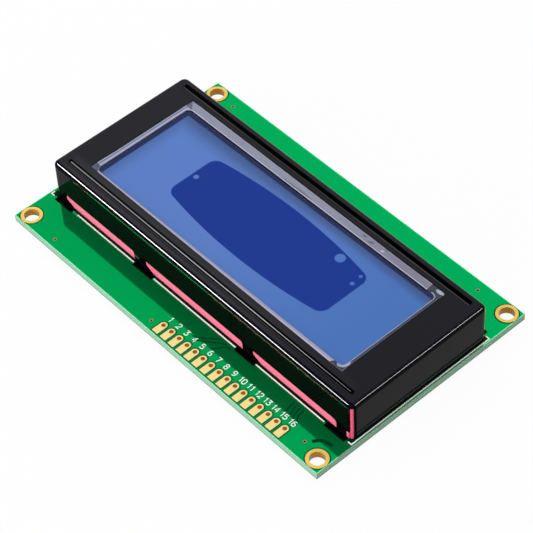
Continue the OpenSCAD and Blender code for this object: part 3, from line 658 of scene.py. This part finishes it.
cornerShade = g.calc("MULTIPLY", g.calc("GREATER_THAN", py, 13.4), g.calc("SUBTRACT", 1.0, ringed))
rightColor = g.blend(cornerShade, rightColor, filmLook["dark"])
rightColor = g.blend(g.spot(px, py, (38.7, 15.03), (1.1, 0.42), 0.0, 0.2), rightColor, filmLook["arc"])
cornerLine = g.calc("MULTIPLY", g.calc("LESS_THAN", edge, 0.14), g.calc("LESS_THAN", py, -12.6))
rightColor = g.blend(cornerLine, rightColor, filmLook["facetHighlight"])

# Corners: flat facets at the left, painted lighter and darker as light and shade, and at the right the
# skirt's own painted lines go round
isRear = g.calc("GREATER_THAN", py, 12.0)
isFront = g.calc("LESS_THAN", py, -12.4)
skirtColor = g.blend(isRear, frontColor, rearColor)
skirtColor = g.blend(g.calc("LESS_THAN", px, foot["low"][0] + 0.1), skirtColor, leftColor)
rightStart = g.between(isRear, g.calc("MINIMUM", g.calc("MULTIPLY_ADD", py, 0.45, 42.4), 36.9), 36.0)
skirtColor = g.blend(g.calc("GREATER_THAN", px, rightStart), skirtColor, rightColor)
facet = g.calc("MULTIPLY", isFront, g.calc("LESS_THAN", px, -38.35))
facetColor = g.blend(g.ramp(outside, 0.1, 0.2), filmLook["rear"], filmLook["facetFront"])
skirtColor = g.blend(facet, skirtColor, facetColor)
fold = g.calc("SUBTRACT", g.calc("SUBTRACT", px, windowLow[0]), g.calc("SUBTRACT", windowHigh[1], py))
facet = g.calc("MULTIPLY", g.calc("GREATER_THAN", py, 13.5), g.calc("LESS_THAN", px, -38.3))
facetColor = g.blend(g.ramp(fold, -0.25, 0.35), filmLook["facetRear"], filmLook["facetHighlight"])
skirtColor = g.blend(facet, skirtColor, facetColor)

# A thin line of painted shade inside the foot, along the rear and the left
shadeLineAtFoot = g.calc("MULTIPLY", g.band(outside, -0.34, -0.04, 0.05), g.ramp(py, 11.9, 12.5))
shadeLineAtFoot = g.calc("MULTIPLY", shadeLineAtFoot, g.fall(px, 36.2, 36.9))
g.feed(surface.inputs["Specular IOR Level"], g.between(shadeLineAtFoot, 0.5, 0.05))
alpha = g.between(skirt, g.between(shadeLineAtFoot, filmLook["clear"], 0.9), filmLook["skirt"])
filmColor = g.blend(shadeLineAtFoot, seenDisplay(g, px, py), filmLook["shadeLineAtFoot"])
g.feed(surface.inputs["Base Color"], g.blend(skirt, filmColor, skirtColor))
g.feed(surface.inputs["Alpha"], alpha)


# Smooth random field on a lattice, read between its points with cosine weights
def field(x, y, cellX, cellY, seed):
    random = np.random.default_rng(seed)
    table = random.random((160, 160))
    u, v = x / cellX + 40.0, y / cellY + 40.0
    i, j = np.floor(u).astype(int), np.floor(v).astype(int)
    fu = 0.5 - 0.5 * np.cos(np.pi * (u - i))
    fv = 0.5 - 0.5 * np.cos(np.pi * (v - j))
    i, j = i % 159, j % 159
    low = table[i, j] * (1 - fu) + table[i + 1, j] * fu
    high = table[i, j + 1] * (1 - fu) + table[i + 1, j + 1] * fu
    return low * (1 - fv) + high * fv


# Grid lines that are close together near both ends and wider in the middle
def gridLines(low, high, fine, edge, coarse):
    near = np.linspace(low, low + edge, round(edge / fine) + 1)
    middle = np.linspace(low + edge, high - edge, round((high - low - 2 * edge) / coarse) + 1)
    far = np.linspace(high - edge, high, round(edge / fine) + 1)
    return np.concatenate((near, middle[1:], far[1:]))


# The same outline on the grid: the film climbs by t from its foot to the window's edge
def outsideOf(x, y, middle, half, radius):
    qx = np.abs(x - middle[0]) - (half[0] - radius)
    qy = np.abs(y - middle[1]) - (half[1] - radius)
    away = np.hypot(np.maximum(qx, 0.0), np.maximum(qy, 0.0))
    return away + np.minimum(np.maximum(qx, qy), 0.0) - radius


film = {"gap": 0.08, "foot": 11.975, "rise": 0.1, "riseNear": 0.3, "crinkle": 0.05}
gx = gridLines(windowLow[0] + film["gap"], windowHigh[0] - film["gap"], 0.1, 3.0, 0.3)
gy = gridLines(windowLow[1] + film["gap"], windowHigh[1] - film["gap"], 0.1, 3.0, 0.5)
gridX, gridY = np.meshgrid(gx, gy, indexing="ij")
leaned = np.where(gridY > 0, foot["leanRear"] * gridX, foot["leanFront"] * gridX + foot["shiftFront"])
over = np.maximum(outsideOf(gridX, gridY - leaned, footMiddle, footHalf, foot["radius"]), 0.0)
inner = np.minimum(np.minimum(gridX - gx[0], gx[-1] - gridX), np.minimum(gridY - gy[0], gy[-1] - gridY))
lift = over / (over + inner + 0.001)
crinkles = field(gridX, gridY, 2.6, 0.5, 3) + 0.5 * field(gridX, gridY, 0.9, 0.35, 4) - 0.75
nearSide = np.clip(np.maximum((gridX - 30.0) / 8.0, (-gridY - 6.0) / 6.0), 0.0, 1.0)
rise = film["rise"] + (film["riseNear"] - film["rise"]) * nearSide
filmZ = film["foot"] + rise * lift ** 0.8 + film["crinkle"] * crinkles * np.sin(np.pi * lift)
filmZ = np.clip(filmZ, film["foot"] - 0.01, bezelTop - 0.02)
index = np.arange(gridX.size).reshape(gridX.shape)
quads = np.stack((index[:-1, :-1], index[1:, :-1], index[1:, 1:], index[:-1, 1:]), axis=-1).reshape(-1, 4)
points = np.column_stack((gridX.ravel(), gridY.ravel(), filmZ.ravel()))
filmPiece = newPiece("protective_film_sheet", points, quads, filmMaterial, smooth=True)
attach(filmPiece, "root")
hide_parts("protective_film")
print("stage: film")

# White print on the board: the outline round the bezel and plain numbers at the pads
inkMaterial, g, surface = material("white print", (1.0, 1.0, 1.0, 1.0), 0.5)
ink = {"width": 0.3, "low": boardTop - 0.02, "high": boardTop + 0.02}
frontY, rearY, leftX, rightX = -20.1, 19.85, -48.6, 48.7
outline = [
    [(-39.4, frontY), (-19.9, frontY)],
    [(-13.2, frontY), (13.4, frontY)],
    [(19.75, frontY), (40.6, frontY)],
    [(47.7, frontY), (rightX, frontY), (rightX, rearY), (47.8, rearY)],
    [(-47.7, frontY), (leftX, frontY), (leftX, frontY + 0.9)],
]
outlinePiece = ribbonPiece("printed_outline", outline, ink["width"], ink["low"], ink["high"], inkMaterial)
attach(outlinePiece, "root")

# Strokes of the digits in a cell 0.6 wide and 1 high
strokes = {
    "0": [[(0.15, 0), (0.45, 0), (0.6, 0.18), (0.6, 0.82), (0.45, 1), (0.15, 1), (0, 0.82), (0, 0.18),
           (0.15, 0)]],
    "1": [[(0.12, 0.78), (0.34, 1), (0.34, 0)]],
    "2": [[(0, 0.82), (0.14, 1), (0.46, 1), (0.6, 0.84), (0.6, 0.62), (0, 0), (0.62, 0)]],
    "3": [[(0, 1), (0.58, 1), (0.28, 0.6), (0.46, 0.58), (0.6, 0.44), (0.6, 0.14), (0.46, 0), (0.12, 0),
           (0, 0.14)]],
    "4": [[(0.44, 0), (0.44, 1), (0, 0.3), (0.62, 0.3)]],
    "5": [[(0.56, 1), (0.06, 1), (0.02, 0.58), (0.44, 0.6), (0.6, 0.44), (0.6, 0.14), (0.46, 0), (0.12, 0),
           (0, 0.12)]],
    "6": [[(0.5, 1), (0.2, 0.94), (0, 0.68), (0, 0.14), (0.14, 0), (0.46, 0), (0.6, 0.14), (0.6, 0.42),
           (0.46, 0.56), (0.14, 0.56), (0, 0.44)]],
    "7": [[(0, 1), (0.6, 1), (0.22, 0)]],
    "8": [[(0.14, 0), (0.46, 0), (0.6, 0.14), (0.6, 0.42), (0.48, 0.54), (0.14, 0.54), (0, 0.42), (0, 0.14),
           (0.14, 0)],
          [(0.14, 0.54), (0.04, 0.66), (0.04, 0.88), (0.16, 1), (0.44, 1), (0.56, 0.88), (0.56, 0.66),
           (0.48, 0.54)]],
    "9": [[(0.1, 0), (0.4, 0.06), (0.6, 0.32), (0.6, 0.86), (0.46, 1), (0.14, 1), (0, 0.86), (0, 0.58),
           (0.14, 0.44), (0.46, 0.44), (0.6, 0.56)]],
}
lettering = {"height": 1.3, "advance": 0.74, "stroke": 0.22, "middleY": -24.9}
numberPaths = []
for number in range(1, pinCount + 1):
    label = str(number)
    cell = lettering["height"] * lettering["advance"]
    width = (len(label) - 1) * cell + 0.6 * lettering["height"]
    for order, digit in enumerate(label):
        startX = pinFirst + (number - 1) * pinPitch - width / 2 + order * cell
        startY = lettering["middleY"] - lettering["height"] / 2
        for stroke in strokes[digit]:
            numberPaths.append(np.array(stroke) * lettering["height"] + (startX, startY))
numberPiece = ribbonPiece("pad_numbers", numberPaths, lettering["stroke"], ink["low"], ink["high"],
                          inkMaterial)
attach(numberPiece, "root")

# Copper tracks that show as darker lines through the mask
trackLook = {"color": (0.0, 0.055, 0.02, 1.0), "width": 0.3, "arcWidth": 0.85, "low": boardTop - 0.02,
             "high": boardTop + 0.012, "arcHigh": boardTop + 0.008}
trackMaterial, g, surface = material("masked laminate", trackLook["color"], 0.12, IOR=1.05)


# The path through the points given, with its corners cut by three rounds of averaging
def softPath(points):
    path = np.array(points, float)
    for _ in range(3):
        quarter = path[:-1] * 0.75 + path[1:] * 0.25
        threeQuarter = path[:-1] * 0.25 + path[1:] * 0.75
        path = np.vstack((path[:1], np.stack((quarter, threeQuarter), axis=1).reshape(-1, 2), path[-1:]))
    return path


tracks = [
    softPath([(4.6, -24.6), (6.5, -23.7), (7.5, -22.6), (8.7, -21.7), (9.7, -20.7)]),
    softPath([(5.4, -25.2), (7.5, -23.9), (8.7, -22.9), (9.7, -22.1), (11.6, -20.9)]),
    softPath([(10.0, -24.1), (11.1, -22.9), (11.8, -21.6), (12.9, -21.1)]),
    softPath([(33.2, -23.9), (32.9, -22.7), (32.9, -21.6), (32.4, -20.8)]),
    softPath([(34.4, -24.3), (34.3, -23.2), (33.8, -22.3), (33.6, -21.0)]),
    softPath([(36.0, -24.4), (35.3, -23.7), (34.9, -22.6), (34.6, -21.2)]),
    softPath([(37.2, -24.6), (36.3, -23.5), (35.7, -22.7), (35.7, -21.0)]),
]
arcs = [softPath([(42.6, -25.3), (43.2, -24.3), (44.1, -23.6), (45.2, -23.2), (46.3, -23.1)])]
trackPiece = ribbonPiece("masked_copper_tracks", tracks, trackLook["width"], trackLook["low"],
                         trackLook["high"], trackMaterial)
arcPiece = ribbonPiece("masked_copper_arc", arcs, trackLook["arcWidth"], trackLook["low"],
                       trackLook["arcHigh"], trackMaterial)
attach(arcPiece, "root")
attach(trackPiece, "root")
print("stage: print and tracks")

# Floor: white, and it keeps the object's shadow. Under the bezel it is painted dark, as shade, and doesn't
# glow, so that the slots and openings there stay dark
floorZ = float(cadBounds[0][2]) * 1000.0 - 0.01
floorMaterial, g, surface = material("floor", (0.96, 0.96, 0.96, 1.0), 0.9)
surface.inputs["Specular IOR Level"].default_value = 0.0
glow = g.add("ShaderNodeEmission")
glow.inputs["Color"].default_value = (1.0, 1.0, 1.0, 1.0)
glow.inputs["Strength"].default_value = 1.0
mixer = g.add("ShaderNodeMixShader")
px, py, pz = g.place()
beside = g.calc("MAXIMUM", g.ramp(px, 47.6, 48.6), g.fall(px, -49.1, -48.5))
beside = g.calc("MAXIMUM", beside, g.ramp(g.calc("ABSOLUTE", py), 21.0, 24.5))
g.feed(mixer.inputs[0], g.calc("MULTIPLY", g.seenRay(), g.between(beside, 0.0, 0.95)))
g.feed(surface.inputs["Base Color"], g.blend(beside, shade(60, 60, 60), shade(250, 250, 250)))
g.feed(mixer.inputs[1], surface.outputs[0])
g.feed(mixer.inputs[2], glow.outputs[0])
g.feed(floorMaterial.node_tree.nodes["Material Output"].inputs["Surface"], mixer.outputs[0])
reachOut = 1500.0
floorPoints = [(-reachOut, -reachOut, floorZ), (reachOut, -reachOut, floorZ),
               (reachOut, reachOut, floorZ), (-reachOut, reachOut, floorZ)]
floor = newPiece("floor", floorPoints, [[0, 1, 2, 3]], floorMaterial)

# World: white where it is seen or mirrored, softer as light
world = bpy.data.worlds.new("studio")
bpy.context.scene.world = world
world.use_nodes = True
g = Graph(world.node_tree)
background = world.node_tree.nodes["Background"]
background.inputs["Color"].default_value = (1.0, 1.0, 1.0, 1.0)
g.feed(background.inputs["Strength"], g.between(g.seenRay(), 0.5, 1.0))


# A rectangular lamp that faces the object. Its power is radiance times area times pi, and mirrors says
# whether gloss sees it also, only or not
def lamp(name, direction, distance, width, height, radiance, mirrors="also"):
    data = bpy.data.lights.new(name, "AREA")
    data.shape = "RECTANGLE"
    data.size = width
    data.size_y = height
    data.energy = radiance * width * height * math.pi
    made = bpy.data.objects.new(name, data)
    bpy.context.scene.collection.objects.link(made)
    back = np.array(direction, float)
    back /= np.linalg.norm(back)
    up = np.array((0.0, 0.0, 1.0)) - back * back[2]
    up /= np.linalg.norm(up)
    right = np.cross(up, back)
    turned = Matrix((right, up, back)).transposed().to_4x4()
    made.matrix_world = Matrix.Translation(back * distance) @ turned
    made.visible_camera = False
    made.visible_diffuse = mirrors != "only"
    made.visible_glossy = mirrors != "not"


# Two soft boxes and a fill light the object. The two strips are seen only in gloss, as the bright
# lines along the bezel's bends and beads
lamp("soft box", (-0.508, 0.4235, 0.75), 0.7, 0.5, 0.42, 1.6)
lamp("overhead", (0.15, 0.1, 1.0), 0.9, 0.5, 0.5, 1.6)
lamp("front strip", (-0.508, -0.60, 0.60), 0.8, 0.5, 0.15, 260.0, mirrors="only")
lamp("right strip", (0.62, 0.42, 0.66), 0.8, 0.5, 0.09, 150.0, mirrors="only")
lamp("front fill", (-0.1, -1.0, 0.22), 0.9, 0.6, 0.3, 9.5, mirrors="not")
print("stage: lights")
